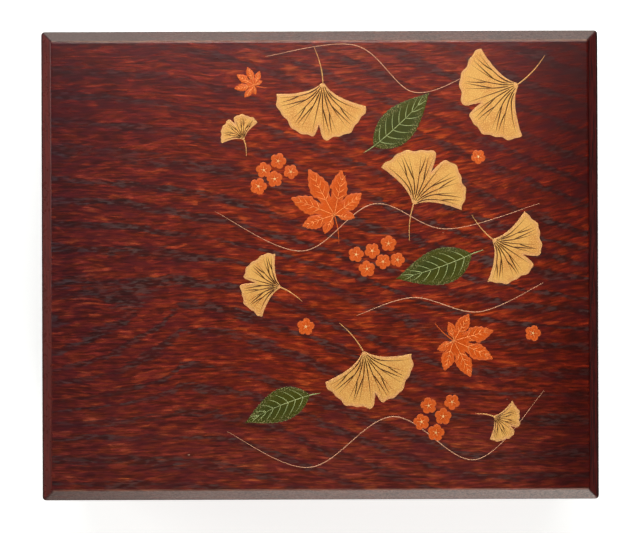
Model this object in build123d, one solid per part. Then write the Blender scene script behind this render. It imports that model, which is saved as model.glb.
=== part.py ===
from build123d import *

import os
from math import atan, cos, degrees, pi, sqrt

# A joined wooden letter box with a lift-off lid that overlaps its case.
# X runs along the long side, Y from front to back, Z up. The origin is the centre of the box's
# footprint, on the surface that it stands on. Lengths are in millimetres.

# Overall size, lid closed
LID_LENGTH = 310.0
LID_WIDTH = 261.0
TOTAL_HEIGHT = 112.0
CORNER_RADIUS = 2.0

# Lid board: its bevel, the soft edges above and below the bevel, and the step that drops inside the rails
BOARD_THICKNESS = 9.0
BEVEL_WIDTH = 6.0
BEVEL_HEIGHT = 5.5
BEVEL_TOP_RADIUS = 2.4
BEVEL_FOOT_RADIUS = 0.8
BOARD_STEP = 1.5

# Lid rails, and the thumb notch in the two long ones
RAIL_THICKNESS = 6.5
RAIL_HEIGHT = 38.0
RAIL_EDGE_RADIUS = 0.9
NOTCH_LENGTH = 62.0
NOTCH_DEPTH = 7.0
NOTCH_SHOULDER_RADIUS = 12.0

# Case
LID_CLEARANCE = 0.6
WALL_THICKNESS = 7.0
WALL_RIM_RADIUS = 1.4
WALL_FOOT_RADIUS = 0.8
BOTTOM_THICKNESS = 7.0
BOTTOM_RAISE = 1.5
RABBET_DEPTH = 3.5
BOTTOM_FIT = 0.15

# Keys let in across the mitred corners
KEY_THICKNESS = 1.6
KEY_WEB = 2.1
CASE_KEY_HEIGHTS = (19.0, 49.0, 80.0)
LID_KEY_DEPTHS = (11.0, 29.0)

# Whittled bamboo pegs, with their counts on a long side and on a short one
PEG_SIDES = 12
PEG_POINT_LENGTH = 3.0
PEG_POINT_RADIUS = 0.4
PEG_END_MARGIN = 32.0
BOTTOM_PEG_RADIUS = 1.2
BOTTOM_PEG_LENGTH = 15.0
BOTTOM_PEG_COUNTS = (4, 3)
HIDDEN_PEG_RADIUS = 1.0
HIDDEN_PEG_LENGTH = 12.0
HIDDEN_PEG_RISE = 4.0
HIDDEN_PEG_COUNTS = (4, 3)

# Places that follow from the sizes above
BOARD_LOW = TOTAL_HEIGHT - BOARD_THICKNESS
BEVEL_FOOT = TOTAL_HEIGHT - BEVEL_HEIGHT
RAIL_LOW = BOARD_LOW - RAIL_HEIGHT
CASE_HEIGHT = BOARD_LOW - BOARD_STEP
CASE_INSET = RAIL_THICKNESS + LID_CLEARANCE
CASE_LENGTH = LID_LENGTH - 2 * CASE_INSET
CASE_WIDTH = LID_WIDTH - 2 * CASE_INSET
RABBET_INSET = WALL_THICKNESS - RABBET_DEPTH
RABBET_HEIGHT = BOTTOM_RAISE + BOTTOM_THICKNESS
BOTTOM_PEG_HEIGHT = BOTTOM_RAISE + BOTTOM_THICKNESS / 2
HIDDEN_PEG_LOW = BOARD_LOW + HIDDEN_PEG_RISE - HIDDEN_PEG_LENGTH

# Each side of a frame, as the turn about Z that carries the front side to it
TURNS = {"front": 0, "right": 90, "back": 180, "left": 270}
LONG_SIDES = (0, 180)
TOUCH = 1e-3


def plank(length, width, low, high):
    """A board with square edges, centred on the origin in plan."""
    return Pos(0, 0, low) * extrude(Rectangle(length, width), high - low)


def envelope(length, width, low, high):
    """The outside of a frame: a plank with its four upright corners rounded."""
    return Pos(0, 0, low) * extrude(RectangleRounded(length, width, CORNER_RADIUS), high - low)


def side_reach(turn, length, width):
    """How long a frame's side is outside, and how far its outer face lies from the frame's centre."""
    return (length, width / 2) if turn in LONG_SIDES else (width, length / 2)


def mitred(turn, length, width, blank, low, high):
    """Cuts a blank that lies along the front to its two mitres, and turns it to its own side."""
    run, reach = side_reach(turn, length, width)
    half = run / 2
    wedge = Polygon((-half, -reach), (half, -reach), (half - reach, 0), (reach - half, 0), align=None)
    side = blank & Pos(0, 0, low) * extrude(wedge, high - low)
    return Rot(0, 0, turn) * side & envelope(length, width, low, high)


def from_section(turn, length, width, section):
    """A blank along the front, from a section drawn inwards from its outer face."""
    run, reach = side_reach(turn, length, width)
    plane = Plane(origin=(-run / 2, -reach, 0), x_dir=(0, 1, 0), z_dir=(1, 0, 0))
    return extrude(plane * section, run)


def rail_blank(turn):
    """A lid rail with its lower edges rounded, and a thumb notch if it is one of the long ones."""
    section = Pos(RAIL_THICKNESS / 2, RAIL_LOW + RAIL_HEIGHT / 2) * Rectangle(RAIL_THICKNESS, RAIL_HEIGHT)
    blank = from_section(turn, LID_LENGTH, LID_WIDTH, section)
    if turn in LONG_SIDES:
        blank = thumb_notched(blank)
    crosswise = blank.edges().filter_by(Axis.Y) + blank.edges().filter_by(Axis.Z)
    lengthwise = [edge for edge in blank.edges() if edge not in crosswise]
    lower = [edge for edge in lengthwise if edge.center().Z < BOARD_LOW - TOUCH]
    return fillet(lower, RAIL_EDGE_RADIUS)


def thumb_notched(blank):
    """Cuts the shallow arc in a long rail's lower edge, where the thumbs hold the case back."""
    half = NOTCH_LENGTH / 2
    radius = (half**2 + NOTCH_DEPTH**2) / (2 * NOTCH_DEPTH)
    centre = (0, 0, RAIL_LOW + NOTCH_DEPTH - radius)
    plane = Plane(origin=centre, x_dir=(1, 0, 0), z_dir=(0, 1, 0))
    notched = blank - extrude(plane * Circle(radius), LID_WIDTH, both=True)
    shoulders = [
        edge
        for edge in notched.edges().filter_by(Axis.Y)
        if abs(abs(edge.center().X) - half) < TOUCH
    ]
    return fillet(shoulders, NOTCH_SHOULDER_RADIUS)


def wall_blank(turn):
    """A case wall: a rounded rim for the lid to slide over, and a rabbet for the bottom board."""
    section = Pos(WALL_THICKNESS / 2, CASE_HEIGHT / 2) * Rectangle(WALL_THICKNESS, CASE_HEIGHT)
    section = fillet(section.vertices().group_by(Axis.Y)[-1], WALL_RIM_RADIUS)
    section = fillet(section.vertices().group_by(Axis.Y)[0].sort_by(Axis.X)[0], WALL_FOOT_RADIUS)
    rabbet_middle = Pos(RABBET_INSET + RABBET_DEPTH / 2, RABBET_HEIGHT / 2)
    section -= rabbet_middle * Rectangle(RABBET_DEPTH, RABBET_HEIGHT)
    return from_section(turn, CASE_LENGTH, CASE_WIDTH, section)


def lid_board():
    """The lid's board: bevelled all round, its edges softened, and stepped down inside the rails."""
    board = plank(LID_LENGTH, LID_WIDTH, BOARD_LOW, TOTAL_HEIGHT)
    top = board.faces().sort_by(Axis.Z)[-1]
    board = chamfer(top.edges(), BEVEL_WIDTH, BEVEL_HEIGHT, reference=top)
    ridges = [edge for edge in board.edges() if edge.center().Z > BEVEL_FOOT + TOUCH]
    board = fillet(ridges, BEVEL_TOP_RADIUS)
    board &= envelope(LID_LENGTH, LID_WIDTH, BOARD_LOW, TOTAL_HEIGHT)
    foot_line = [
        edge
        for edge in board.edges()
        if edge.bounding_box().min.Z > BEVEL_FOOT - TOUCH
        and edge.bounding_box().max.Z < BEVEL_FOOT + BEVEL_FOOT_RADIUS
    ]
    board = fillet(foot_line, BEVEL_FOOT_RADIUS)
    inside = 2 * RAIL_THICKNESS
    return board + plank(LID_LENGTH - inside, LID_WIDTH - inside, CASE_HEIGHT, BOARD_LOW)


def corner_keys(length, width, thickness, heights):
    """Thin three-cornered slips that cross each mitre from outside and stop short of its inner corner."""
    leg = (thickness * sqrt(2) - KEY_WEB) * sqrt(2)
    outline = Polygon((0, 0), (leg, 0), (0, leg), align=None)
    corners = {0: (-1, -1), 90: (1, -1), 180: (1, 1), 270: (-1, 1)}
    slips = []
    for turn, (side_x, side_y) in corners.items():
        corner = Pos(side_x * length / 2, side_y * width / 2) * Rot(0, 0, turn)
        for height in heights:
            low, high = height - KEY_THICKNESS / 2, height + KEY_THICKNESS / 2
            slip = corner * Pos(0, 0, low) * extrude(outline, KEY_THICKNESS)
            slips.append(slip & envelope(length, width, low, high))
    return slips


def places_round_frame(length, width, inset, counts):
    """Evenly spread places along a frame's four sides, each turned to face inwards like its side."""
    long_count, short_count = counts
    places = []
    for turn in TURNS.values():
        run, reach = side_reach(turn, length, width)
        count = long_count if turn in LONG_SIDES else short_count
        spread = run / 2 - PEG_END_MARGIN
        for index in range(count):
            along = spread * (2 * index / (count - 1) - 1)
            places.append(Rot(0, 0, turn) * Pos(along, inset - reach))
    return places


def peg(radius, length, both_ends=False):
    """A many-sided bamboo peg along +Z, sharpened at its far end, or at both ends."""
    section = RegularPolygon(radius, PEG_SIDES)
    narrowing = (radius - PEG_POINT_RADIUS) * cos(pi / PEG_SIDES)
    point = extrude(section, PEG_POINT_LENGTH, taper=degrees(atan(narrowing / PEG_POINT_LENGTH)))
    whole = Pos(0, 0, length - PEG_POINT_LENGTH) * point
    if both_ends:
        whole += Pos(0, 0, PEG_POINT_LENGTH) * Rot(180, 0, 0) * point
    low = PEG_POINT_LENGTH if both_ends else 0
    return whole + Pos(0, 0, low) * extrude(section, length - PEG_POINT_LENGTH - low)


def less(blank, fitted):
    """A piece with room cut in it for each piece that is driven or glued into it."""
    for piece in fitted:
        blank -= piece
    return blank


def hidden_pegs():
    """Pegs with two points that hold the lid's board down, in the middle of the rails' thickness."""
    places = places_round_frame(LID_LENGTH, LID_WIDTH, RAIL_THICKNESS / 2, HIDDEN_PEG_COUNTS)
    upright = peg(HIDDEN_PEG_RADIUS, HIDDEN_PEG_LENGTH, both_ends=True)
    return [place * Pos(0, 0, HIDDEN_PEG_LOW) * upright for place in places]


def bottom_pegs():
    """Pegs driven in through the case walls, level with the middle of the bottom board."""
    places = places_round_frame(CASE_LENGTH, CASE_WIDTH, 0, BOTTOM_PEG_COUNTS)
    inward = Rot(-90, 0, 0) * peg(BOTTOM_PEG_RADIUS, BOTTOM_PEG_LENGTH)
    return [place * Pos(0, 0, BOTTOM_PEG_HEIGHT) * inward for place in places]


def build_lid():
    """Every piece that lifts off with the lid."""
    keys = corner_keys(LID_LENGTH, LID_WIDTH, RAIL_THICKNESS, [BOARD_LOW - depth for depth in LID_KEY_DEPTHS])
    pegs = hidden_pegs()
    pieces = {"lid_top": less(lid_board(), pegs)}
    for side, turn in TURNS.items():
        rail = mitred(turn, LID_LENGTH, LID_WIDTH, rail_blank(turn), RAIL_LOW, BOARD_LOW)
        pieces[f"lid_{side}_rail"] = less(rail, pegs + keys)
    pieces["lid_corner_keys"] = Compound(keys)
    pieces["lid_hidden_pegs"] = Compound(pegs)
    return pieces


def build_case():
    """Every piece of the case that the lid closes over."""
    keys = corner_keys(CASE_LENGTH, CASE_WIDTH, WALL_THICKNESS, CASE_KEY_HEIGHTS)
    pegs = bottom_pegs()
    edge_loss = 2 * (RABBET_INSET + BOTTOM_FIT)
    bottom = plank(CASE_LENGTH - edge_loss, CASE_WIDTH - edge_loss, BOTTOM_RAISE, RABBET_HEIGHT)
    pieces = {"case_bottom": less(bottom, pegs)}
    for side, turn in TURNS.items():
        wall = mitred(turn, CASE_LENGTH, CASE_WIDTH, wall_blank(turn), 0, CASE_HEIGHT)
        pieces[f"case_{side}"] = less(wall, pegs + keys)
    pieces["case_corner_keys"] = Compound(keys)
    pieces["case_bottom_pegs"] = Compound(pegs)
    return pieces


os.makedirs("parts", exist_ok=True)
for name, piece in {**build_lid(), **build_case()}.items():
    export_step(piece, f"parts/{name}.step")
    print(name, len(piece.solids()), round(piece.volume))
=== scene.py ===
# %% [markdown]
# # A lacquered letter box, dressed around its joined frame
#
# The box is joinery: a bevelled lid board on four mitred rails, over a case of four walls and a bottom.
# All of that arrives ready made, at its real size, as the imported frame. What is left for this file is
# what a finisher adds to bare wood: the transparent red-brown lacquer, the darker end grain, the leaves
# painted on the lid, and then the light to see them by.
#
# The frame comes first, because every piece made here is placed from it. X runs along the long side,
# Y from front to back and Z up, in metres.

# %% Load the joined frame
import math
import random
from functools import partial, reduce

import bpy
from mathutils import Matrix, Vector
from mathutils.geometry import delaunay_2d_cdt
from mathutils.kdtree import KDTree


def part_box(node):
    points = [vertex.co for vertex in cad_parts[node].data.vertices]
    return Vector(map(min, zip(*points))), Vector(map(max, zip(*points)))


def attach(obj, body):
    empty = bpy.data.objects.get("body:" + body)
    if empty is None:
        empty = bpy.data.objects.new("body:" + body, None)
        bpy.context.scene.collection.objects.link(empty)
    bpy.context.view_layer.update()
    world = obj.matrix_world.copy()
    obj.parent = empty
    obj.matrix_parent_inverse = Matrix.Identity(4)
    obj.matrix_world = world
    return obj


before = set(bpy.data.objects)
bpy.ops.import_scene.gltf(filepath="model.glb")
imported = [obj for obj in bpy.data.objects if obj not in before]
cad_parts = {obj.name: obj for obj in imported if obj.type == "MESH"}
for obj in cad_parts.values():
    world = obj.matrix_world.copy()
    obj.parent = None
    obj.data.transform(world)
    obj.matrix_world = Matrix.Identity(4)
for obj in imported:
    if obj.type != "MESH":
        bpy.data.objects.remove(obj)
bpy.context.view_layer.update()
MM = 0.001

# %% [markdown]
# ## The lid's own measures
#
# Most of what follows is placed on the lid, so its measures are read from the frame once and given
# names. The bevel's width and height are the joiner's, so they are written here as sizes and not
# guessed from the mesh.

# %% Read the lid's measures
lid_low, lid_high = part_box("lid_top")
LID_LENGTH = (lid_high.x - lid_low.x) / MM
LID_WIDTH = (lid_high.y - lid_low.y) / MM
LID_TOP = lid_high.z / MM
BEVEL_WIDTH = 6.0
BEVEL_HEIGHT = 5.5
print(f"lid {LID_LENGTH:.1f} x {LID_WIDTH:.1f} mm, its flat at {LID_TOP:.1f} mm")

# %% [markdown]
# ## The camera
#
# The box is looked at from straight above, from a little over a metre, with a long lens, so that the
# lid's sides stay hidden under its edge. A lens is chosen by similar triangles: the sensor's width is
# to the focal length as the width in view is to the distance. The widest part of the lid is the foot
# of its bevel, so the distance counts from there.

# %% Set up the camera
FRAME_WIDTH_PX = 640
LID_LENGTH_PX = 556.4
LID_CENTRE_OFFSET_PX = (0.0, 1.1)
LID_TURN_DEGREES = 0.19
SENSOR_WIDTH = 36.0
CAMERA_HEIGHT = 1250.0


def add_object(name, data):
    """A new object around its data, put into the scene."""
    made = bpy.data.objects.new(name, data)
    bpy.context.scene.collection.objects.link(made)
    return made


bevel_foot = LID_TOP - BEVEL_HEIGHT
mm_per_pixel = LID_LENGTH / LID_LENGTH_PX
width_in_view = FRAME_WIDTH_PX * mm_per_pixel
camera_data = bpy.data.cameras.new("overhead_camera")
camera_data.sensor_width = SENSOR_WIDTH
camera_data.lens = SENSOR_WIDTH * CAMERA_HEIGHT / width_in_view
camera = add_object("overhead_camera", camera_data)
aside = Vector(LID_CENTRE_OFFSET_PX) * mm_per_pixel
camera.location = Vector((-aside.x, -aside.y, bevel_foot + CAMERA_HEIGHT)) * MM
camera.rotation_euler = (0, 0, -math.radians(LID_TURN_DEGREES))
bpy.context.scene.camera = camera
bpy.context.scene.view_settings.view_transform = "Standard"
print(f"lens {camera_data.lens:.1f} mm, {mm_per_pixel:.3f} mm to a pixel")

# %% [markdown]
# ## Wiring shader nodes without losing the thread
#
# A wood finish is a long sum: stretch the coordinates, add a wandering, band it into rings, break it
# into flecks. Written node by node that is unreadable, so here is a small bench that makes a node,
# plugs in whatever it is given, and hands back the output, so that a sum can be written as a sum.

# %% A bench for wiring a finish
class Bench:
    """Makes and wires the nodes of one finish, or of the sky."""

    def __init__(self, owner):
        owner.use_nodes = True
        self.owner = owner
        self.tree = owner.node_tree
        self.surface = self.tree.nodes.get("Principled BSDF") or self.tree.nodes["Background"]

    def plug(self, socket, value):
        """Links a socket to an output, or sets it to a plain value or colour."""
        if isinstance(value, bpy.types.NodeSocket):
            self.tree.links.new(value, socket)
        else:
            socket.default_value = (*value, 1.0) if socket.type == "RGBA" else value

    def node(self, kind, wires=(), **settings):
        """A node of one kind, with its settings and its inputs by name or number."""
        made = self.tree.nodes.new("ShaderNode" + kind)
        for key, value in settings.items():
            setattr(made, key, value)
        for key, value in dict(wires).items():
            self.plug(made.inputs[key], value)
        return made

    def sum(self, operation, *terms):
        """One sum on numbers: ADD, MULTIPLY, MINIMUM and so on."""
        return self.node("Math", enumerate(terms), operation=operation).outputs[0]

    def total(self, *terms):
        """All the terms added up."""
        return reduce(partial(self.sum, "ADD"), terms)

    def times(self, *terms):
        """All the terms multiplied together."""
        return reduce(partial(self.sum, "MULTIPLY"), terms)

    def away(self, value, place):
        """How far a number lies from a place, on either side of it."""
        return self.sum("ABSOLUTE", self.sum("SUBTRACT", value, place))

    def ease(self, value, low, high, low_to=0, high_to=1):
        """Turns a value's run from low to high into a smooth run between two others."""
        wires = {"Value": value, "From Min": low, "From Max": high, "To Min": low_to, "To Max": high_to}
        return self.node("MapRange", wires, interpolation_type="SMOOTHSTEP").outputs["Result"]

    def mix(self, share, first, second, way="MIX"):
        """A colour between two others."""
        wires = {0: share, 6: first, 7: second}
        return self.node("Mix", wires, data_type="RGBA", blend_type=way).outputs[2]

    def tint(self, share, colour, tint):
        """A colour with a share of a tint multiplied into it."""
        return self.mix(share, colour, tint, "MULTIPLY")

    def join(self, x, y, z):
        """Three numbers as one place."""
        return self.node("CombineXYZ", {"X": x, "Y": y, "Z": z}).outputs[0]

    def stretch(self, place, sizes):
        """A place in units of its own along each axis, so that noise on it is drawn out to those sizes."""
        return self.join(*(self.sum("DIVIDE", part, size) for part, size in zip(place, sizes)))

    def noise(self, place, detail=2.0, roughness=0.5, seed=0.0):
        """Soft noise about one unit across, from 0 to 1, in any number of separate patterns."""
        wires = {"Vector": place, "W": seed, "Scale": 1.0, "Detail": detail, "Roughness": roughness}
        return self.node("TexNoise", wires, noise_dimensions="4D").outputs["Fac"]

    def cells(self, place, scale=1.0):
        """Scattered cells: a chance number for each, and how far each place is from its cell's point."""
        made = self.node("TexVoronoi", {"Vector": place, "Scale": scale}).outputs
        return self.node("SeparateColor", {0: made["Color"]}).outputs[0], made["Distance"]

    def seeing_rays(self):
        """1 for camera rays, and 1 for each ray that shows a thing: camera, glossy or glass."""
        rays = self.node("LightPath").outputs
        shown = self.sum("MAXIMUM", rays["Is Camera Ray"], rays["Is Glossy Ray"])
        return rays["Is Camera Ray"], self.sum("MAXIMUM", shown, rays["Is Transmission Ray"])

    def ramp(self, value, stops):
        """A colour for each height of a value, from (height, colour) pairs."""
        made = self.node("ValToRGB", {"Fac": value})
        elements = made.color_ramp.elements
        while len(elements) < len(stops):
            elements.new(0.5)
        for element, (height, colour) in zip(elements, stops):
            element.position = height
            element.color = (*colour, 1.0)
        return made.outputs["Color"]

    def surface_set(self, **values):
        """Sets the surface's own sockets, by their names with spaces as underscores."""
        for key, value in values.items():
            self.plug(self.surface.inputs[key.replace("_", " ")], value)

    def bump(self, height, depth_mm):
        """Relief from a height of 0 to 1, at a depth in millimetres."""
        wires = {"Height": height, "Strength": 1.0, "Distance": depth_mm * MM}
        self.plug(self.surface.inputs["Normal"], self.node("Bump", wires).outputs["Normal"])


print("bench ready")

# %% [markdown]
# ## The wood and its lacquer
#
# The board is an open-grained wood under a lacquer that was rubbed in and wiped off again and again.
# The lacquer is as transparent as strong tea: the hard wood glows orange-red through it, the soft wood
# drinks it and turns maroon, and the pores that open with each year's growth fill up and dry to a dull
# grey-brown. So there are three layers to paint:
#
# * fibres along the grain: dashes about four times as long as they are thick, bundles with abrupt ends,
#   fine hairs, bright splinters, dark pores, and threads that lean to rose or to tawny;
# * rings, soft grey streaks that cross the fibres at a slant and stand in arches at one end;
# * slow patches of plum and maroon.
#
# An image would fix all this at one size. Noise worked out from the place on the board doesn't run out
# of detail, and because it is solid noise, it turns the corner onto the edges as real wood does.

# %% Colours of the lacquer, deep to bright
DASH_STOPS = [
    (0.00, (0.044, 0.006, 0.0055)),
    (0.22, (0.062, 0.008, 0.007)),
    (0.42, (0.09, 0.0105, 0.0082)),
    (0.62, (0.133, 0.015, 0.0092)),
    (0.8, (0.192, 0.0235, 0.012)),
    (1.00, (0.31, 0.05, 0.02)),
]
RING_PALE = (0.076, 0.048, 0.042)
RING_DARK = (0.026, 0.0082, 0.0072)
PORE_DARK = (0.024, 0.0048, 0.004)
PLUM = (0.07, 0.0085, 0.011)
WARM_TINT = (1.18, 0.95, 0.54)
TAWNY_TINT = (1.0, 1.08, 0.78)
ROSY_TINT = (1.0, 0.93, 1.12)
HAIR_DARK_TINT = (0.72, 0.73, 0.75)
HAIR_PALE_TINT = (1.2, 1.19, 1.14)
NEAR_EDGE_PAINTED_SHEEN = (1.0, 1.24, 1.24)
FAR_LEFT_PAINTED_SHADE = (0.93, 0.84, 0.92)
LEFT_RIM_PAINTED_SHADE = (0.68, 0.72, 0.92)
RIGHT_RIM_PAINTED_SHADE = (0.5, 0.34, 0.34)
EDGE_DARK = (0.014, 0.002, 0.002)
EDGE_MIDDLE = (0.042, 0.016, 0.012)
EDGE_PALE = (0.11, 0.056, 0.044)
END_GRAIN_DEEP = (0.074, 0.0052, 0.0034)
END_GRAIN_PALE = (0.138, 0.0175, 0.012)
END_STREAK_TINT = (0.38, 0.4, 0.42)
FOOT_PAINTED_SHADE = (0.012, 0.0015, 0.0015)
INSIDE_DEEP = (0.02, 0.005, 0.0042)

# %% The places on a board, along its grain and across it
def board_places(bench, grain_axis):
    """The place on the object in millimetres, as along the grain, across it, and up."""
    local = bench.node("TexCoord").outputs["Object"]
    parts = bench.node("SeparateXYZ", {0: local}).outputs
    x, y, z = (bench.sum("MULTIPLY", part, 1 / MM) for part in parts)
    return (x, y, z) if grain_axis == "X" else (y, x, z)


KNEE_END = 8.0


def soft_rise(bench, value, start, width):
    """0 before a start, then a climb of 1 for 1, with a rounded knee of some width."""
    scaled = bench.sum("DIVIDE", bench.sum("SUBTRACT", value, start), width)
    grown = bench.sum("EXPONENT", bench.sum("MINIMUM", scaled, KNEE_END))
    knee = bench.sum("LOGARITHM", bench.sum("ADD", grown, 1.0), math.e)
    beyond = bench.sum("MAXIMUM", bench.sum("SUBTRACT", scaled, KNEE_END), 0.0)
    return bench.times(bench.total(knee, beyond), width)


# %% [markdown]
# ## Growth rings
#
# A ring shows wherever it comes up through the board, so the question to ask of each place is how far
# out from the tree's heart it grew: places at the same distance make one ring. On this lid the distance
# is the place across the board, plus whatever the tree adds by bending. The rings fall away to the
# right, level off again in the near right corner, and arch at the left of the near half.
#
# Pairs of bare numbers given to ease say where a change begins and where it is complete: places in
# millimetres from the lid's middle, or heights of the noise.

# %% Rings of the boards
RING_SPACING = 14.5
SLOPE_FROM_MIDDLE = 0.30
SLOPE_FROM_LEFT = 0.13
CORNER_SLOPE = -0.46
ARCH_DROP = 42.0


def lid_rings(bench, along, across, up):
    """How far out each place on the lid grew, in millimetres."""
    late = soft_rise(bench, along, -48.0, 14.0)
    early = soft_rise(bench, along, -125.0, 12.0)
    far_half = bench.ease(across, -15, 25)
    gentle = bench.total(late, bench.times(far_half, bench.sum("SUBTRACT", early, late)))
    fall = bench.total(bench.times(late, SLOPE_FROM_MIDDLE), bench.times(gentle, SLOPE_FROM_LEFT))
    corner = bench.times(soft_rise(bench, along, 75, 12), bench.ease(across, 30, -70), CORNER_SLOPE)
    leftward = bench.node("MapRange", {"Value": along, "From Min": -78.0, "From Max": -150.0})
    arch = bench.sum("POWER", leftward.outputs["Result"], 0.7)
    near_half = bench.times(bench.ease(across, -6, -34), bench.ease(across, -102, -48))
    return bench.total(across, fall, corner, bench.times(arch, near_half, ARCH_DROP), up)


def side_rings(bench, along, across, up):
    """The same for a rail or wall, cut from further out, where the rings run nearly straight."""
    return bench.total(bench.times(up, 1.1), bench.times(across, 0.4), bench.times(along, 0.14))


# %% [markdown]
# ## Fibres
#
# Each figure of the grain is a cloud of noise drawn out along the fibres. The fibres aren't straight:
# they lean at the right, bow with the arches at the left, and drift a little everywhere. So the place
# across the board is bent first, and the clouds are worked out from the bent place.

# %% Clouds of noise: length and thickness in millimetres, detail, and number of the pattern
CLOUDS = {
    "drift": (55, 34, 1, 0),
    "dashes": (6.5, 1.6, 1, 1),
    "hairs": (9.5, 0.9, 1, 2),
    "streaks": (15, 2.8, 2, 3),
    "patches": (17, 8, 2, 4),
    "pores": (9, 1.05, 1, 5),
    "splinters": (15, 1.05, 1, 15),
    "hue": (10, 1.8, 1, 16),
    "plum": (22, 8, 2, 11),
    "ring jitter": (10, 1.5, 1, 6),
    "ring wander": (30, 12, 2, 7),
    "ring strength": (22, 9, 2, 9),
    "ring threads": (9, 0.9, 1, 10),
    "ring dots": (5, 1.2, 1, 13),
    "ring width": (34, 12, 1, 14),
}
BUNDLE_SIZE = (7.5, 2.3)
LEAN_START = 30.0
LEAN = 0.24
BOW_PLACE = -45.0
BOW = 3.0
DRIFT = 7.0
print("clouds of noise:", len(CLOUDS))


# %% The grain as colour and as relief
def grain(bench, along, across, up, level, seed):
    """Colour of the lacquered wood, and how brightly its fibres glow."""
    def stretched(sideways, length, thickness):
        """The place, in units this long along the fibres and this thick across them."""
        return bench.stretch((along, sideways, up), (length, thickness, thickness))

    def cloud(name, sideways):
        """One of the clouds, with heights from 0 to 1."""
        length, thickness, detail, number = CLOUDS[name]
        return bench.noise(stretched(sideways, length, thickness), detail, 0.5, seed + number)

    tilt = bench.ease(across, -90, 60, 0, LEAN)
    tilt = bench.times(tilt, bench.ease(across, 118, 78, 0.35, 1))
    lean = bench.times(soft_rise(bench, along, LEAN_START, 18.0), tilt)
    bowed = bench.ease(bench.away(along, BOW_PLACE), 75, 0, 0, BOW)
    bowed = bench.times(bowed, bench.ease(across, 30, -25))
    drift = bench.times(cloud("drift", across), DRIFT)
    bent = bench.sum("SUBTRACT", across, bench.total(lean, bowed, drift))
    from_centre = bench.sum("ABSOLUTE", across)
    from_left = bench.ease(along, -118, -5)

    # The ring lines.
    jitter = bench.times(cloud("ring jitter", bent), 0.40)
    wander = bench.times(cloud("ring wander", bent), 0.50)
    uneven = bench.noise(bench.join(bench.sum("DIVIDE", level, 36.0), 0.0, 0.0), 1.0, 0.5, seed + 8)
    turn = bench.total(bench.sum("DIVIDE", level, RING_SPACING), jitter, wander)
    turn = bench.sum("FRACT", bench.total(turn, bench.times(uneven, 1.6)))
    from_line = bench.times(bench.away(turn, 0.5), RING_SPACING)
    half_width = bench.ease(cloud("ring width", bent), 0.34, 0.64, 1.8, 4)
    line = bench.ease(from_line, half_width, bench.times(half_width, 0.4))
    strength = bench.ease(cloud("ring strength", bent), 0.34, 0.60, 0.45, 1)
    threads = bench.ease(cloud("ring threads", bent), 0.38, 0.58, 0.62, 1)
    ring = bench.times(line, strength, threads, bench.ease(from_centre, 15, 80, 1, 0.66))
    late = bench.ease(bench.sum("FRACT", bench.total(turn, 0.36)), 0, 1, 0.08, -0.08)

    # How brightly the fibres glow: fine and broad figures about nought, and then what lifts them.
    dashes = bench.ease(cloud("dashes", bent), 0.36, 0.64)
    bundles = bench.cells(stretched(bent, *BUNDLE_SIZE))[0]
    fine_part = bench.total(bench.times(dashes, 0.24), bench.times(bundles, 0.32), -0.28)
    streaks = bench.times(cloud("streaks", bent), 0.8)
    broad_part = bench.total(streaks, bench.times(cloud("patches", bent), 0.6), -0.70)
    far_right = bench.times(bench.ease(along, -20, 60), bench.ease(across, 0, 55))
    broad_part = bench.times(broad_part, bench.ease(far_right, 0, 1, 1, 0.5))
    liveliness = bench.ease(from_centre, 20, 90, 1.08, 0.78)
    lively = bench.times(bench.total(fine_part, broad_part), liveliness)
    splinters = bench.ease(cloud("splinters", bent), 0.60, 0.74)
    splinters = bench.times(splinters, bench.ease(along, 140, 70, 0.3, 1), 0.28)
    # Over all but the two ends of the lid the glow is lifted, more towards the back: painted light.
    from_right = bench.ease(along, 140, 75)
    painted_glow = bench.times(from_left, from_right, bench.ease(across, -110, 90, 0.08, 0.17))
    glow = bench.total(lively, splinters, late, painted_glow, 0.545)

    # The colour of that glow, and what lies over it.
    wood = bench.ramp(bench.sum("SUBTRACT", glow, bench.times(ring, 0.20)), DASH_STOPS)
    middle = bench.times(bench.ease(across, -112, -50), bench.ease(across, 120, 72))
    wood = bench.tint(bench.times(from_left, middle), wood, WARM_TINT)
    hue = bench.ease(cloud("hue", bent), 0.36, 0.64)
    wood = bench.tint(1.0, wood, bench.mix(hue, TAWNY_TINT, ROSY_TINT))
    hairs = bench.ease(cloud("hairs", bent), 0.38, 0.62)
    wood = bench.tint(1.0, wood, bench.mix(hairs, HAIR_DARK_TINT, HAIR_PALE_TINT))
    pores = bench.ease(cloud("pores", bent), 0.46, 0.38)
    wood = bench.mix(bench.times(pores, 0.42), wood, PORE_DARK)
    plum = bench.ease(cloud("plum", bent), 0.46, 0.66, 0, 0.5)
    # The plum patches are the wood's own; the plum laid over the far right corner is painted shade.
    far_corner_shade = bench.times(bench.ease(along, 55, 125), bench.ease(across, 10, 80), 0.35)
    wood = bench.mix(bench.total(plum, far_corner_shade), wood, PLUM)
    ring_colour = bench.mix(bench.ease(cloud("ring dots", bent), 0.44, 0.62), RING_DARK, RING_PALE)
    return bench.mix(bench.times(ring, 0.76), wood, ring_colour), glow


# %% [markdown]
# ## One finish for each kind of board
#
# All the boards share one recipe and differ in where their grain points, and in what was lacquered
# darker: the hollow of the lid and the hollow of the case. End grain soaks up so much lacquer that it is
# nearly even in colour, so the finish also has to know which way a face looks. Place and direction are
# both taken in object space, so that a lid that is lifted keeps its finish. Only the lid's board has
# painted shade and sheen by its rims, grey-brown bevels, painted highlights and shade at its arrises,
# and specks besides.

# %% Masks by direction and by place
LID_HOLLOW = (148.6, 124.1, 0.0, 103.05)
CASE_HOLLOW = (141.0, 116.5, 8.4, 101.0)


def facing(bench, axis):
    """1 on faces that look along an axis either way, 0 on faces that lie along it."""
    normal = bench.node("TexCoord").outputs["Normal"]
    part = bench.node("SeparateXYZ", {0: normal}).outputs[axis]
    return bench.ease(bench.sum("ABSOLUTE", part), 0.30, 0.62)


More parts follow.
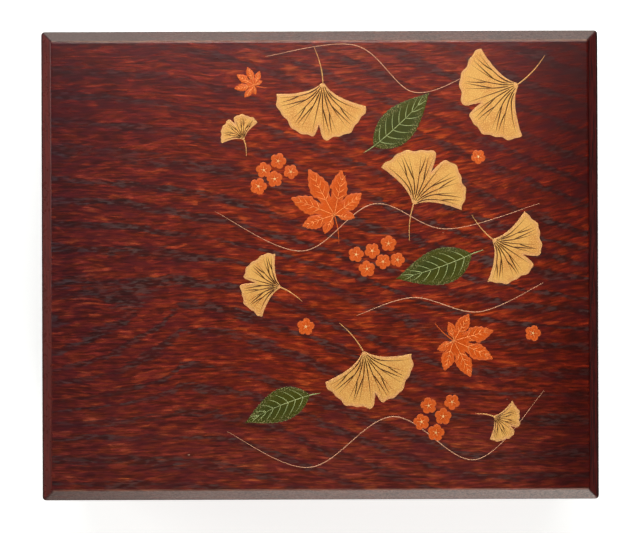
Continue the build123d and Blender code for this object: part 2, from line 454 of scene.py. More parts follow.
def within(bench, x, y, z, hollow):
    """1 inside a hollow, given as its half length, half width, floor and ceiling."""
    half_x, half_y, floor_height, ceiling = hollow
    return bench.times(
        bench.sum("LESS_THAN", bench.sum("ABSOLUTE", x), half_x),
        bench.sum("LESS_THAN", bench.sum("ABSOLUTE", y), half_y),
        bench.sum("GREATER_THAN", z, floor_height),
        bench.sum("LESS_THAN", z, ceiling),
    )


# %% What only the lid board has: painted shade and sheen, bevels, arris highlights and specks
PALE_SPECK_AND_HIGHLIGHT = (0.36, 0.2, 0.13)
SPECK_CELL = 16.0
LONG_ARRIS = LID_WIDTH / 2 - BEVEL_WIDTH
END_ARRIS = LID_LENGTH / 2 - BEVEL_WIDTH


def lid_edges(bench, along, across, fine, wood):
    """Painted shade towards the far left and the side rims, a painted sheen towards the near edge, and
    grey-brown long bevels that are partly painted sheen.
    """
    # Towards the near edge the wood is lifted to a greyer, lighter colour: painted sheen.
    wood = bench.tint(bench.ease(across, -40, -115), wood, NEAR_EDGE_PAINTED_SHEEN)
    # Towards the far left, the left rim and the right rim the wood is darkened: painted shade.
    far_left_shade = bench.times(bench.ease(along, 0, -50), bench.ease(across, 45, 100))
    wood = bench.tint(far_left_shade, wood, FAR_LEFT_PAINTED_SHADE)
    left_rim_shade = bench.times(bench.ease(along, -92, -150), bench.ease(across, -70, -15, 0.62, 1))
    wood = bench.tint(left_rim_shade, wood, LEFT_RIM_PAINTED_SHADE)
    towards_corner = bench.ease(bench.away(across, -4), 10, 50, 0.6, 1)
    right_rim_shade = bench.times(bench.ease(along, 94, 150), towards_corner)
    wood = bench.tint(right_rim_shade, wood, RIGHT_RIM_PAINTED_SHADE)
    # The long bevels get a grey-brown mottle: partly their own colour, partly a painted sheen.
    mottled = bench.mix(bench.ease(fine, 0.44, 0.58), EDGE_DARK, EDGE_PALE)
    contrast = bench.ease(along, -130, 100, 0.4, 1)
    contrast = bench.times(contrast, bench.ease(across, 40, -40, 0.5, 1))
    bevel_colour = bench.mix(contrast, EDGE_MIDDLE, mottled)
    return bench.mix(bench.times(facing(bench, 1), 0.85), wood, bevel_colour)


def lid_painted_light_and_specks(bench, along, across, up, colour):
    """A painted highlight along the long arrises, painted shade at the ends, and a few tiny pale specks."""
    # A pale line along the long arrises, stronger towards the back, is a painted highlight; the tiny pale
    # specks are the wood's own.
    line = bench.ease(bench.away(bench.sum("ABSOLUTE", across), LONG_ARRIS), 0.8, 0.2)
    on_top = bench.ease(up, LID_TOP - 4, LID_TOP - 2.5)
    spots = bench.noise(bench.join(bench.sum("DIVIDE", along, 14.0), across, 0.0), 3.0, 0.6, 77.0)
    strength = bench.ease(across, -120, 120, 0.34, 0.45)
    from_middle = bench.sum("ABSOLUTE", along)
    between_mitres = bench.sum("LESS_THAN", from_middle, END_ARRIS - 0.4)
    line = bench.times(line, on_top, between_mitres, bench.ease(spots, 0.30, 0.62), strength)
    # The outermost millimetre at both ends, and a line inside the arris of the right end, are darkened:
    # painted shade.
    foot = bench.sum("GREATER_THAN", from_middle, LID_LENGTH / 2 - 1.0)
    foot = bench.times(foot, bench.ease(along, -60, 60, 0.65, 0.95))
    inner_arris_shade = bench.ease(bench.away(from_middle, END_ARRIS + 0.6), 1, 0.4)
    inner_arris_shade = bench.times(inner_arris_shade, bench.ease(along, 0, 60), on_top, 0.32)
    colour = bench.mix(bench.sum("MAXIMUM", foot, inner_arris_shade), colour, FOOT_PAINTED_SHADE)
    drawn_out = bench.join(bench.times(along, 0.45), across, 0.0)
    lot, from_point = bench.cells(drawn_out, 1 / SPECK_CELL)
    small = bench.ease(from_point, 0.024, 0.016)
    speck = bench.times(small, bench.ease(lot, 0.90, 0.91), 0.8)
    return bench.mix(bench.sum("MAXIMUM", line, speck), colour, PALE_SPECK_AND_HIGHLIGHT)


# %% The finish of a board
def board_finish(name, grain_axis, rings_of, seed, hollow, darker):
    """Transparent lacquer on open-grained wood."""
    bench = Bench(bpy.data.materials.new(name))
    lid_board = rings_of is lid_rings
    along, across, up = board_places(bench, grain_axis)
    wood, glow = grain(bench, along, across, up, rings_of(bench, along, across, up), seed)
    spread = bench.join(bench.times(along, 0.8), bench.times(across, 1.3), bench.times(up, 1.3))
    fine = bench.noise(spread, 3.0, 0.7, seed + 12)

    if lid_board:
        wood = lid_edges(bench, along, across, fine, wood)

    ends = facing(bench, 0 if grain_axis == "X" else 1)
    # The end grain is paler towards a board's low end and deeper towards its high end: on the lid, painted
    # light at the left end and painted shade at the right.
    end_colour = bench.mix(bench.ease(along, 60, -60), END_GRAIN_DEEP, END_GRAIN_PALE)
    lengthwise = bench.join(bench.times(across, 0.06), bench.times(up, 0.7), bench.times(along, 0.7))
    streak = bench.ease(bench.noise(lengthwise, 2, 0.6, seed + 15), 0.40, 0.60)
    streak = bench.times(streak, bench.ease(along, -60, 60, 0.55, 1))
    end_colour = bench.tint(streak, end_colour, END_STREAK_TINT)
    colour = bench.mix(ends, wood, end_colour)
    x, y = (along, across) if grain_axis == "X" else (across, along)
    deep = bench.total(bench.times(within(bench, x, y, up, hollow), 0.55), darker)
    colour = bench.mix(deep, colour, INSIDE_DEEP)
    if lid_board:
        colour = lid_painted_light_and_specks(bench, along, across, up, colour)

    gloss = bench.ease(glow, 0, 1, 0.33, 0.26)
    polish = bench.times(ends, bench.ease(along, -30, 60), -0.18)

    bench.surface_set(
        Base_Color=colour,
        Roughness=bench.total(gloss, polish),
        Specular_IOR_Level=0.26,
    )
    bench.bump(bench.total(bench.times(glow, 0.6), bench.times(fine, 0.4)), 0.03)
    return bench.owner


# %% Finishes of all the boards: name, grain axis, rings, seed, hollow, share darker, and the boards
BOARDS = (
    ("lid_board_lacquer", "X", lid_rings, 10.0, LID_HOLLOW, 0.0, "lid_top"),
    ("lid_long_rail_lacquer", "X", side_rings, 30.0, LID_HOLLOW, 0.0, "lid_front_rail lid_back_rail"),
    ("lid_short_rail_lacquer", "Y", side_rings, 50.0, LID_HOLLOW, 0.0, "lid_left_rail lid_right_rail"),
    ("case_long_wall_lacquer", "X", side_rings, 70.0, CASE_HOLLOW, 0.0, "case_front case_back case_bottom"),
    ("case_short_wall_lacquer", "Y", side_rings, 90.0, CASE_HOLLOW, 0.0, "case_left case_right"),
    ("lid_key_lacquer", "Y", side_rings, 110.0, LID_HOLLOW, 0.4, "lid_corner_keys"),
    ("case_key_lacquer", "Y", side_rings, 130.0, CASE_HOLLOW, 0.4, "case_corner_keys"),
)


def lay_finish(node, finish):
    """Gives one piece of wood its finish."""
    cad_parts[node].material_slots[0].material = finish
    print(node, "wears", finish.name)


for *recipe, boards in BOARDS:
    finish = board_finish(*recipe)
    for board in boards.split():
        lay_finish(board, finish)

# %% [markdown]
# ## Bamboo pegs
#
# The pegs are whittled from bamboo, which shows its bundles of fibres as dark dots on a cut end and as
# fine lines along its length. Noise stretched upwards gives both on the upright pegs. The pegs that lie
# in the walls show only their ends, so theirs isn't stretched.

# %% Bamboo under lacquer
BAMBOO = (0.26, 0.12, 0.048)
BAMBOO_FIBRE = (0.1, 0.034, 0.015)
DOT_SIZE = 0.35
UPRIGHT_LENGTH = 5.0


def bamboo_finish(name, height):
    """Bamboo, with fibres of one thickness and of a height along Z."""
    bench = Bench(bpy.data.materials.new(name))
    place = bench.stretch(board_places(bench, "X"), (DOT_SIZE, DOT_SIZE, height))
    fibres = bench.noise(place, 2.0, 0.5, 5.0)
    bench.surface_set(
        Base_Color=bench.mix(bench.ease(fibres, 0.42, 0.60), BAMBOO, BAMBOO_FIBRE),
        Roughness=bench.ease(fibres, 0.3, 0.7, 0.36, 0.48),
        Specular_IOR_Level=0.3,
    )
    bench.bump(fibres, 0.03)
    return bench.owner


lay_finish("lid_hidden_pegs", bamboo_finish("upright_bamboo", UPRIGHT_LENGTH))
lay_finish("case_bottom_pegs", bamboo_finish("lying_bamboo", DOT_SIZE))

# %% [markdown]
# ## Paint with a thickness
#
# The leaves are laid on in opaque lacquer mixed with pigment or gold powder. It is thicker than ink:
# a leaf stands a tenth of a millimetre proud, with a rounded shoulder that catches the light. A colour
# mask in the wood's own finish would stay dead flat, so each leaf is a thin closed film instead. Its
# outline is a formula, its inside is filled with a fine grid of points, and each point rises with its
# distance from the outline. That distance is kept on the mesh, because the painter also uses it: the
# margins are stippled.

# %% Measuring a film of paint by its outline
FILM_HEIGHT = 0.13
FILM_FOOT = -0.03
SHOULDER = 0.45
FILM_GRID = 1.5
CLOSEST_TO_RIM = 0.15
OUTLINE_STEP = 0.3


def sides_of(outline):
    """Each point of a closed outline with the next one."""
    return zip(outline, outline[1:] + outline[:1])


def inside(point, outline):
    """Whether a point lies inside a closed outline."""
    x, y = point
    crossings = 0
    for (x0, y0), (x1, y1) in sides_of(outline):
        if (y0 > y) != (y1 > y) and x < x0 + (y - y0) * (x1 - x0) / (y1 - y0):
            crossings += 1
    return crossings % 2 == 1


def outline_tree(outline):
    """A tree for asking how far a point lies from an outline."""
    dense = []
    for (x0, y0), (x1, y1) in sides_of(outline):
        parts = max(1, math.ceil(math.hypot(x1 - x0, y1 - y0) / OUTLINE_STEP))
        dense += [(x0 + (x1 - x0) * k / parts, y0 + (y1 - y0) * k / parts, 0.0) for k in range(parts)]
    tree = KDTree(len(dense))
    for index, point in enumerate(dense):
        tree.insert(point, index)
    tree.balance()
    return tree


# %% A layer of paint
class Layer:
    """Everything painted in one colour, gathered into one mesh."""

    def __init__(self):
        self.points = []
        self.faces = []
        self.margins = []

    def film(self, outline, height=FILM_HEIGHT):
        """A closed film of paint with a rounded shoulder, from an outline in millimetres."""
        tree = outline_tree(outline)
        count = len(outline)
        x_low, x_high = (pick(x for x, _ in outline) for pick in (min, max))
        y_low, y_high = (pick(y for _, y in outline) for pick in (min, max))
        middle = []
        for row in range(int((y_high - y_low) / FILM_GRID) + 1):
            for column in range(int((x_high - x_low) / FILM_GRID) + 1):
                x = x_low + (column + 0.5 * (row % 2)) * FILM_GRID
                middle.append((x, y_low + row * FILM_GRID))
        for before, here, after in zip(outline[-1:] + outline[:-1], outline, outline[1:] + outline[:1]):
            way = Vector(after) - Vector(before)
            if way.length > 1e-6:
                inward = Vector((-way.y, way.x)).normalized() * SHOULDER
                for share in (1.0, 0.5):
                    middle.append((here[0] + inward.x * share, here[1] + inward.y * share))
        kept = [p for p in middle if inside(p, outline) and tree.find((*p, 0.0))[2] > CLOSEST_TO_RIM]
        flat = [Vector(p) for p in list(outline) + kept]
        rim = [list(range(count))]
        spots, _, faces, *_ = delaunay_2d_cdt(flat, [], rim, 1, 1e-4)
        far = [tree.find((*spot, 0.0))[2] for spot in spots]
        first = len(self.points)
        for spot, distance in zip(spots, far):
            rise = min(1.0, distance / SHOULDER)
            lift = FILM_FOOT + (height - FILM_FOOT) * math.sin(rise * math.pi / 2)
            self.points.append((spot.x, spot.y, LID_TOP + lift))
            self.margins.append(distance)
        self.faces += [[first + i for i in face] for face in faces]
        self.close_foot(first, spots, faces)

    def close_foot(self, first, spots, faces):
        """Closes a film from below, so that it is a solid skin of paint."""
        sides = [side for face in faces for side in sides_of(face)]
        known = set(sides)
        foot = len(self.points)
        for spot in spots:
            self.points.append((spot.x, spot.y, LID_TOP + FILM_FOOT - 0.02))
            self.margins.append(0.0)
        self.faces += [[foot + i for i in reversed(face)] for face in faces]
        for a, b in sides:
            if (b, a) not in known:
                self.faces.append([first + b, first + a, foot + a, foot + b])

    def line(self, path, widths, low=FILM_FOOT, high=0.09):
        """A brushed line with a crown along its middle, drawn out to a point at both ends."""
        first = len(self.points)
        last = len(path) - 1
        for index, (x, y) in enumerate(path):
            ahead = Vector(path[min(index + 1, last)]) - Vector(path[max(index - 1, 0)])
            side = Vector((-ahead.y, ahead.x)).normalized() * widths[index] / 2
            swell = min(1.0, widths[index] / max(widths))
            self.points += [
                (x + side.x, y + side.y, LID_TOP + low),
                (x, y, LID_TOP + low + (high - low) * (0.4 + 0.6 * swell)),
                (x - side.x, y - side.y, LID_TOP + low),
            ]
            self.margins += [0.0, widths[index] / 2, 0.0]
        for index in range(last):
            a, b = first + 3 * index, first + 3 * index + 3
            self.faces += [[a + 1, b + 1, b, a], [a + 2, b + 2, b + 1, a + 1], [a, b, b + 2, a + 2]]
        tail = first + 3 * last
        self.faces += [[first, first + 2, first + 1], [tail + 1, tail + 2, tail]]

    def piece(self, name, slot, finish):
        """The layer as one object that rides on the lid."""
        mesh = bpy.data.meshes.new(name)
        mesh.from_pydata([tuple(v * MM for v in point) for point in self.points], [], self.faces)
        mesh.validate()
        margin = mesh.attributes.new("margin", "FLOAT", "POINT")
        margin.data.foreach_set("value", self.margins)
        mesh.shade_smooth()
        mesh.materials.append(finish)
        made = add_object(name, mesh)
        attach(made, "lid")
        print(f"{name}: {len(mesh.polygons)} faces")


# %% [markdown]
# ## Drawing leaves by formula
#
# Each kind of leaf is drawn once, lying along X with its base at nought and its tip at a length of one,
# and then laid wherever it is wanted. A ginkgo leaf is a fan with a ruffled edge and a cleft; a maple
# leaf is a handful of toothed lobes; the evergreen leaf is a sine pushed towards its base. A little
# seeded chance keeps two ginkgo or maple leaves from being twins, as a painter's hand would.

# %% Helpers for paths
def polar(reach, turn):
    """The point at a distance from the middle, in a direction given in radians."""
    return (reach * math.cos(turn), reach * math.sin(turn))


def turns_round(count):
    """Directions spread evenly round a circle, in radians."""
    return [2 * math.pi * k / count for k in range(count)]


def placed(points, place, degrees, size, bend=0.0):
    """Points drawn on a unit leaf, bent, turned, sized and moved to their place on the lid."""
    turn = math.radians(degrees)
    moved = []
    for x, y in points:
        y += bend * x * x
        moved.append((
            place[0] + size * (x * math.cos(turn) - y * math.sin(turn)),
            place[1] + size * (x * math.sin(turn) + y * math.cos(turn)),
        ))
    return moved


def bow(start, control, end, steps):
    """A smooth curve from start to end, pulled towards a control point."""
    path = []
    for k in range(steps + 1):
        t = k / steps
        first, pull, last = (1 - t) ** 2, 2 * t * (1 - t), t * t
        path.append(tuple(first * a + pull * c + last * b for a, c, b in zip(start, control, end)))
    return path


def taper(count, width, start=0.5, end=0.12):
    """Widths along a brushed line: from a share of the width, through all of it, to a point."""
    widths = []
    for k in range(count):
        t = k / (count - 1)
        widths.append(width * (start + (1 - start) * min(1.0, t / 0.2)) * (1 - (1 - end) * t ** 1.8))
    return widths


# %% The ginkgo leaf
HALF_FAN = 1.22
FAN_STEPS = 84


def ginkgo_outline(chance):
    """A fan: a ruffled far edge with a cleft, and two hollow sides."""
    phase, second = chance.uniform(0, 6), chance.uniform(0, 6)
    cleft = chance.uniform(0.22, 0.40)
    edge = []
    for k in range(FAN_STEPS + 1):
        t = -HALF_FAN + 2 * HALF_FAN * k / FAN_STEPS
        ruffle = 1 + 0.020 * math.sin(12 * t + phase) + 0.012 * math.sin(27 * t + second)
        reach = ruffle * (1 - 0.13 * (t / HALF_FAN) ** 2) - cleft * math.exp(-abs(t / 0.055) ** 1.5)
        edge.append(polar(reach, t))
    first_side = bow((0.0, -0.03), (0.24, -0.22), edge[0], 14)
    last_side = bow(edge[-1], (0.24, 0.22), (0.0, 0.03), 14)
    return first_side[:-1] + edge + last_side[1:]


def ginkgo_veins(chance):
    """Veins that fan out from the stalk and fork once or twice."""
    veins = []
    for k in range(10):
        t = HALF_FAN * 0.90 * (2 * k / 9 - 1) + chance.uniform(-0.02, 0.02)
        if abs(t) < 0.08:
            continue
        reach = 0.90 - 0.10 * (t / HALF_FAN) ** 2
        root = polar(0.16 if k % 2 else 0.07, t * 0.7)
        pull = (0.34 * math.cos(t * 0.55), 0.30 * math.sin(t * 0.62))
        path = bow(root, pull, polar(reach, t), 14)
        veins.append(path)
        fork = path[7 if k % 2 else 9]
        side = math.copysign(0.10, t if k % 2 else -t)
        tip = polar(reach * 1.01, t + side)
        if 0.07 < abs(t + side) < HALF_FAN * 0.95:
            halfway = ((fork[0] + tip[0]) / 2, (fork[1] + tip[1]) / 2)
            veins.append(bow(fork, (halfway[0] + 0.02, halfway[1] + side * 0.15), tip, 8))
    return veins


# %% The maple leaf
MAPLE_LOBES = ((-126, 0.42), (-82, 0.7), (-40, 0.93), (0, 1.0), (40, 0.93), (82, 0.7), (126, 0.42))
MAPLE_SINUS = 0.36
MAPLE_TEETH = 5


def maple_side(hollow, tip, reach, outward):
    """One side of a lobe, from the hollow beside it to its tip, in forward-pointing teeth."""
    way = tip - hollow
    out = Vector((way.y, -way.x)).normalized() * outward
    side = [hollow]
    for tooth in range(MAPLE_TEETH):
        for share, lift in ((0.05, 0.0), (0.16, 0.026)):
            t = tooth / MAPLE_TEETH + share
            belly = 0.105 * math.sin(math.pi * t ** 0.8) ** 0.9
            side.append(hollow + way * t + out * (belly + lift * (1 - 0.5 * t)) * reach)
    return side


def maple_outline(chance):
    """Toothed lobes round the stalk, each drawn out to a point."""
    turns = [math.radians(turn + chance.uniform(-3, 3)) for turn, _ in MAPLE_LOBES]
    reaches = [reach * chance.uniform(0.95, 1.04) for _, reach in MAPLE_LOBES]
    gaps = [turns[0] - 0.40] + [(a + b) / 2 for a, b in zip(turns, turns[1:])] + [turns[-1] + 0.40]
    outline = [(-0.03, -0.04)]
    for index, (turn, reach) in enumerate(zip(turns, reaches)):
        tip = Vector(polar(reach, turn))
        hollows = []
        for gap in gaps[index:index + 2]:
            deep = MAPLE_SINUS * (0.45 + 0.55 * reach)
            neighbour = 0.5 if gap in (gaps[0], gaps[-1]) else 1.0
            hollows.append(Vector(polar(deep * neighbour, gap)))
        rising = maple_side(hollows[0], tip, reach, 1)
        falling = maple_side(hollows[1], tip, reach, -1)
        outline += [tuple(point) for point in (*rising, tip, *falling[:0:-1])]
    return outline + [(-0.03, 0.04)]


def maple_veins(chance):
    """One vein along each lobe, with pairs of side veins."""
    veins = []
    for turn, reach in MAPLE_LOBES:
        along = Vector(polar(1.0, math.radians(turn)))
        across = Vector((-along.y, along.x))
        end = along * reach * 0.90
        veins.append(bow((0.0, 0.0), end * 0.5 + across * chance.uniform(-0.02, 0.02), end, 10))
        for step in range(4 if reach > 0.5 else 2):
            root = end * (0.38 + 0.15 * step)
            for side in (-1, 1):
                tip = root + along * 0.13 * reach + across * side * (0.135 - 0.022 * step) * reach
                veins.append(bow(root, (root + tip) / 2 + along * -0.012, tip, 5))
    return veins


# %% The evergreen leaf
EVERGREEN_TEETH = 15


def evergreen_half_width(t):
    """Half the leaf's width at a share of its length."""
    return 0.25 * math.sin(math.pi * t ** 0.86) ** 0.85 * (1.08 - 0.34 * t)


def evergreen_outline():
    """Two finely toothed sides that meet in a drawn-out tip."""
    side = [(0.0, 0.012)]
    for k in range(1, EVERGREEN_TEETH * 2):
        t = k / (EVERGREEN_TEETH * 2)
        tooth = 0.010 if k % 2 else 0.0
        side.append((t, evergreen_half_width(t) + tooth * math.sin(math.pi * t)))
    tip = (1.03, 0.0)
    return [(x, -y) for x, y in side] + [tip] + side[::-1]


def evergreen_veins():
    """A midrib and side veins that bow towards the tip."""
    veins = [bow((0.0, 0.0), (0.5, 0.0), (0.95, 0.0), 16)]
    for k in range(7):
        root = 0.10 + 0.115 * k
        for side in (-1, 1):
            reach = min(0.93, root + 0.17)
            tip = (reach, side * 0.80 * evergreen_half_width(reach))
            veins.append(bow((root, 0.0), (root + 0.06, side * abs(tip[1]) * 0.62), tip, 7))
    return veins


# %% [markdown]
# ## Where the leaves fall
#
# The left third of the lid is left bare and the leaves drift down the rest, so each is given by the
# place of its stalk's joint on the lid, the way it points, its size and its bend. Broad gold leaves come
# first, because the rest is fitted round them.

# %% Places of the leaves: where the base is, direction in degrees, length, bend
GINKGO_PLACES = (
    ((110, 100), 205, 33, 0.03),
    ((52, 34), 62, 31, -0.04),
    ((2, 101), 262, 31, 0.05),
    ((96, 14), -28, 27, 0.04),
    ((24, -48), -72, 31, -0.05),
    ((-22, -12), 168, 22, 0.05),
    ((-42, 70), 120, 14, 0.0),
    ((96, -84), -30, 15, 0.0),
)
MAPLE_PLACES = (
    ((8, 28), 118, 28),
    ((74, -42), -24, 25),
    ((-36, 100), 150, 12),
)
EVERGREEN_PLACES = (
    ((30, 66), 38, 42, 0.10),
    ((84, 6), 205, 43, -0.12),
    ((-6, -72), 196, 38, 0.12),
)

# %% Paint the leaves, layer by layer
LARGE_LEAF = 20
ON_FILM = (FILM_HEIGHT - 0.01, FILM_HEIGHT + 0.03)
chance = random.Random(7)
gold, gold_veins = Layer(), Layer()
orange, orange_veins = Layer(), Layer()
green, green_veins = Layer(), Layer()


def veins_on(layer, veins, place, degrees, size, bend, width):
    """Brushes a leaf's veins on top of its film."""
    for path in veins:
        laid = placed(path, place, degrees, size, bend)
        layer.line(laid, taper(len(laid), width), *ON_FILM)


def stalk(layer, place, degrees, length, curl, width=0.9):
    """The leaf's stalk, running back from its base."""
    path = placed(bow((0.02, 0.0), (-0.5, curl * 0.2), (-1.0, curl), 12), place, degrees, length)
    layer.line(path, taper(len(path), width, 0.9, 0.35), high=0.11)


for place, degrees, size, bend in GINKGO_PLACES:
    gold.film(placed(ginkgo_outline(chance), place, degrees, size, bend))
    width = 1.0 if size > LARGE_LEAF else 0.65
    veins_on(gold_veins, ginkgo_veins(chance), place, degrees, size, bend, width)
    stalk(gold, place, degrees, size * 0.62, chance.choice((-0.4, 0.4)))
for place, degrees, size in MAPLE_PLACES:
    orange.film(placed(maple_outline(chance), place, degrees, size))
    width = 0.62 if size > LARGE_LEAF else 0.45
    veins_on(orange_veins, maple_veins(chance), place, degrees, size, 0.0, width)
    stalk(orange, place, degrees, size * 0.55, chance.choice((-0.35, 0.35)))
for place, degrees, size, bend in EVERGREEN_PLACES:
    green.film(placed(evergreen_outline(), place, degrees, size, bend))
    veins_on(green_veins, evergreen_veins(), place, degrees, size, bend, 0.62)
    stalk(green_veins, place, degrees, size * 0.16, 0.1, 0.8)
print("leaves:", len(GINKGO_PLACES + MAPLE_PLACES + EVERGREEN_PLACES))

# %% [markdown]
# ## Blossoms and wind
#
# Small orange blossoms gather in loose groups or stand alone, five petals round a pale heart. Long,
# hair-thin lines of rosy gold tie the leaves together: they are the wind.

# %% Blossoms
BLOSSOM_SIZE = 4.5
HEART_SHARE = 0.19
BLOSSOM_PLACES = (
    (29, 8), (38, 12), (26, -2), (35, 2), (43, 3), (20, 6),
    (-31, 53), (-23, 58), (-34, 44), (-25, 48), (-16, 52),
    (60, -78), (68, -84), (56, -87), (64, -93), (73, -76),
    (88, 60), (-8, -34), (118, -38),
)
hearts = Layer()


def blossom_outline(chance):
    """Five round petals with a shallow dent between them."""
    size = chance.uniform(0.9, 1.08)
    petals = []
    for turn in turns_round(60):
        petals.append(polar(size * (0.74 + 0.26 * abs(math.cos(2.5 * turn)) ** 0.55), turn))
    return petals


for place in BLOSSOM_PLACES:
    degrees = chance.uniform(0, 72)
    orange.film(placed(blossom_outline(chance), place, degrees, BLOSSOM_SIZE))
    for petal in range(5):
        ray = bow((0.16, 0.0), (0.35, 0.0), (0.56, 0.0), 4)
        ray = placed(ray, place, degrees + 72 * petal, BLOSSOM_SIZE)
        hearts.line(ray, taper(len(ray), 0.28), *ON_FILM)
    heart = [polar(HEART_SHARE, turn) for turn in turns_round(16)]
    hearts.film(placed(heart, place, 0, BLOSSOM_SIZE), FILM_HEIGHT + 0.07)
print("blossoms:", len(BLOSSOM_PLACES))

# %% Lines of wind
WIND_LINES = (
    ((-58, 30), (-10, 8), (30, 34), (70, 20), (122, 34)),
    ((-52, -92), (-6, -112), (40, -84), (86, -108), (124, -70)),
    ((-30, 116), (20, 122), (52, 96), (84, 106)),
    ((20, -28), (52, -18), (88, -26), (124, -10)),
)
STEPS_BETWEEN = 24
WIND_THIN = 0.22
WIND_SWELL = 0.38


def between(p, q, r, s, t):
    """A number that runs smoothly from q to r, with p before them and s after them."""
    curved = (2 * p - 5 * q + 4 * r - s) * t * t
    return 0.5 * (2 * q + (r - p) * t + curved + (3 * q - p - 3 * r + s) * t ** 3)


def flowing(corners):
    """A smooth line that passes through each of its corners."""
    ends = [corners[0], *corners, corners[-1]]
    path = []
    for around in zip(ends, ends[1:], ends[2:], ends[3:]):
        for k in range(STEPS_BETWEEN):
            path.append(tuple(between(*numbers, k / STEPS_BETWEEN) for numbers in zip(*around)))
    return path + [corners[-1]]


wind = Layer()
for corners in WIND_LINES:
    path = flowing(corners)
    last = len(path) - 1
    swell = [math.sin(math.pi * k / last) ** 0.6 for k in range(last + 1)]
    wind.line(path, [WIND_THIN + WIND_SWELL * share for share in swell])
print("lines of wind:", len(WIND_LINES))

# %% [markdown]
# ## Finishes of the paint
#
# Pigment lacquer is opaque and nearly matt. What keeps it from looking like cut paper is that it was
# brushed: gold powder lies thicker in some places, the orange shows the brush, both turn rosier or
# paler in a rim, and the green leaves carry a stipple of yellow-green dots towards their margins. Each
# kind of leaf has veins of a hue of its own.

# %% Painted finishes
BRUSH_SIZE = 9.0
RIM_WIDTH = 2.4
MARGIN_WIDTH = 0.3


def paint_finish(name, main, shade, speck, share=0.40, roughness=0.45, rim=None, stipple=0.0, dust=0.55):
    """Opaque painted lacquer with brushed shading, fine specks, and a rim or a stipple by its margins."""
    bench = Bench(bpy.data.materials.new(name))
    places = board_places(bench, "X")
    wide = bench.noise(bench.stretch(places, [BRUSH_SIZE] * 3))
    grains = bench.noise(bench.stretch(places, [dust] * 3), 1.0, 0.5, 3.0)
    colour = bench.mix(bench.ease(wide, 0.36, 0.66), main, shade)
    dots = bench.ease(grains, 1 - share - 0.12, 1 - share + 0.04)
    margin = bench.node("Attribute", attribute_name="margin").outputs["Fac"]
    if rim:
        colour = bench.mix(bench.ease(margin, RIM_WIDTH, MARGIN_WIDTH, 0, 0.75), colour, rim)
    if stipple:
        patchy = bench.ease(wide, 0.40, 0.56, 0.35, 1)
        dots = bench.times(dots, bench.ease(margin, stipple, MARGIN_WIDTH), patchy)
    colour = bench.mix(dots, colour, speck)
    matt = bench.ease(grains, 0.3, 0.7, roughness - 0.06, roughness + 0.08)
    bench.surface_set(Base_Color=colour, Roughness=matt, Specular_IOR_Level=0.16)
    bench.bump(grains, 0.015)
    return bench.owner


# %% Paint: layer, piece, slot, finish, its main, shaded and speck colours, and what is only its own
PAINTS = (
    (gold, "gold_ginkgo_leaves", "gold_paint", "gold_powder_lacquer",
     (0.655, 0.332, 0.080), (0.565, 0.235, 0.054), (0.74, 0.43, 0.120),
     {"roughness": 0.42, "rim": (0.610, 0.275, 0.120)}),
    (gold_veins, "gold_leaf_veins", "line_paint", "dark_vein_lacquer",
     (0.088, 0.028, 0.003), (0.066, 0.020, 0.003), (0.110, 0.040, 0.006), {}),
    (orange, "orange_maple_leaves_and_blossoms", "orange_paint", "orange_lacquer",
     (0.570, 0.073, 0.003), (0.480, 0.056, 0.002), (0.63, 0.12, 0.010),
     {"share": 0.36, "roughness": 0.42, "rim": (0.580, 0.105, 0.020)}),
    (orange_veins, "orange_leaf_veins", "line_paint", "orange_vein_lacquer",
     (0.78, 0.235, 0.060), (0.70, 0.180, 0.040), (0.84, 0.32, 0.10), {}),
    (green, "green_evergreen_leaves", "green_paint", "green_lacquer",
     (0.050, 0.052, 0.002), (0.038, 0.045, 0.005), (0.26, 0.22, 0.080),
     {"share": 0.38, "roughness": 0.44, "stipple": 5.0, "dust": 0.7}),
    (green_veins, "green_leaf_veins", "line_paint", "green_vein_lacquer",
     (0.30, 0.34, 0.13), (0.23, 0.28, 0.10), (0.40, 0.44, 0.19), {}),
    (hearts, "blossom_hearts", "line_paint", "blossom_heart_lacquer",
     (0.72, 0.42, 0.16), (0.62, 0.33, 0.12), (0.80, 0.52, 0.24), {}),
    (wind, "wind_lines", "line_paint", "rosy_gold_lacquer",
     (0.56, 0.27, 0.15), (0.46, 0.20, 0.11), (0.70, 0.40, 0.24), {"roughness": 0.42}),
)
for layer, piece, slot, finish, main, shade, speck, own in PAINTS:
    layer.piece(piece, slot, paint_finish(finish, main, shade, speck, **own))

# %% [markdown]
# ## Floor and light
#
# The box stands on a pale floor. What the camera sees of it should be white with only a breath of
# shadow, so the floor gets a little light of its own that only camera, glossy and glass rays see. The
# lamps then don't have to be turned up until the box bleaches.
#
# A lacquered lid lit from straight above would mirror the lamp, so the lamps stand aside of that line.
# One soft box is near at the back, a strip stands further behind, and two more soft boxes stand at the
# front right and at the left. Low warm panels, one behind and two in front, are there for the back and
# front bevels to mirror.

# %% The floor
FLOOR_RADIUS = 6.0
FLOOR_SIDES = 96
FLOOR_COLOUR = (0.765, 0.8, 0.785)
FLOOR_OWN_LIGHT = 0.565
MIRRORED_OWN_LIGHT = 0.10

floor_mesh = bpy.data.meshes.new("floor")
floor_rim = [(*polar(FLOOR_RADIUS, turn), 0.0) for turn in turns_round(FLOOR_SIDES)]
floor_mesh.from_pydata(floor_rim, [], [range(FLOOR_SIDES)])
floor = add_object("floor", floor_mesh)

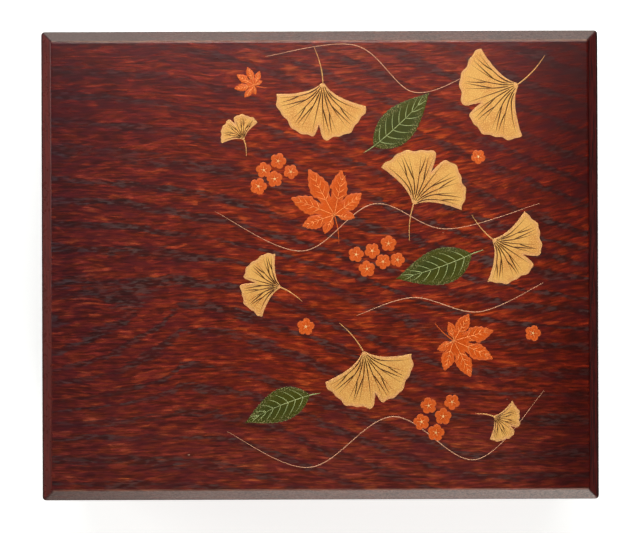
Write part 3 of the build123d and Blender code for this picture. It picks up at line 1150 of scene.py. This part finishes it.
bench = Bench(bpy.data.materials.new("pale_floor"))
bench.surface_set(Base_Color=FLOOR_COLOUR, Roughness=0.9, Specular_IOR_Level=0.1)
camera_ray, shown = bench.seeing_rays()
camera_part = bench.sum("MULTIPLY", camera_ray, FLOOR_OWN_LIGHT - MIRRORED_OWN_LIGHT)
own_strength = bench.sum("ADD", bench.sum("MULTIPLY", shown, MIRRORED_OWN_LIGHT), camera_part)
own = bench.node("Emission", {"Color": (1, 1, 1), "Strength": own_strength})
both = bench.node("AddShader", {0: bench.surface.outputs[0], 1: own.outputs[0]})
bench.plug(bench.tree.nodes["Material Output"].inputs["Surface"], both.outputs[0])
floor_mesh.materials.append(bench.owner)
print("floor radius:", FLOOR_RADIUS, "m")

# %% The lamps
def soft_lamp(name, place, size, power, colour=(1.0, 1.0, 1.0)):
    """A soft box, pointed at the lid."""
    data = bpy.data.lights.new(name, "AREA")
    data.shape = "RECTANGLE"
    data.size, data.size_y = size
    data.energy = power
    data.color = colour
    lamp = add_object(name, data)
    lamp.location = place
    aim = Vector((0, 0, LID_TOP * MM)) - lamp.location
    lamp.rotation_euler = aim.to_track_quat("-Z", "Y").to_euler()
    print(f"{name}: {power} W")


WARM = (1.0, 0.97, 0.89)
WARMER = (1.0, 0.88, 0.8)
soft_lamp("near_back_soft_box", (0.0, 0.34, 0.66), (0.44, 0.12), 2.4)
soft_lamp("back_strip", (0.05, 0.90, 0.75), (1.20, 0.16), 5.0)
soft_lamp("front_soft_box", (0.40, -0.95, 0.90), (0.80, 0.50), 5.5)
soft_lamp("left_soft_box", (-1.20, 0.35, 0.70), (0.60, 0.60), 4.2)
soft_lamp("low_back_panel", (-0.02, 1.60, 0.28), (1.4, 0.5), 14.0, WARM)
soft_lamp("low_front_panel", (0.25, -1.60, 0.28), (1.04, 0.5), 12.4, WARMER)
soft_lamp("low_front_right_panel", (0.48, -1.58, 0.28), (0.6, 0.4), 4.5, WARM)

# %% [markdown]
# ## The sky
#
# The sky is dark overhead, a little brighter to the left, and has a white backdrop round the horizon.
# Only the rays that show a thing see it so. To the light that falls on the box it is one dim room.

# %% The sky
BACKDROP_HEIGHT = 0.16
OVERHEAD = 0.16
ROOM_LIGHT = 0.10

sky = Bench(bpy.data.worlds.new("studio"))
bpy.context.scene.world = sky.owner
direction = sky.node("TexCoord").outputs["Generated"]
to_right, to_back, upward = sky.node("SeparateXYZ", {0: direction}).outputs
leftward = sky.sum("MULTIPLY_ADD", to_right, -5.0, 1.0)
leftward = sky.sum("MINIMUM", sky.sum("MAXIMUM", leftward, 0.1), 1.8)
heights = {"Value": upward, "From Min": BACKDROP_HEIGHT * 2, "From Max": BACKDROP_HEIGHT}
strengths = {"To Min": sky.times(leftward, OVERHEAD), "To Max": 1.0}
backdrop = sky.node("MapRange", {**heights, **strengths}).outputs["Result"]
camera_ray, shown = sky.seeing_rays()
front_and_back = sky.sum("MULTIPLY_ADD", sky.sum("ABSOLUTE", to_back), 0.92, 0.08)
mirrored = sky.times(backdrop, sky.sum("MAXIMUM", front_and_back, camera_ray))
strength = sky.node("Mix", {"Factor": shown, 2: ROOM_LIGHT, 3: mirrored}).outputs[0]
sky.surface_set(Color=(1, 1, 1), Strength=strength)
print("sky:", sky.owner.name)
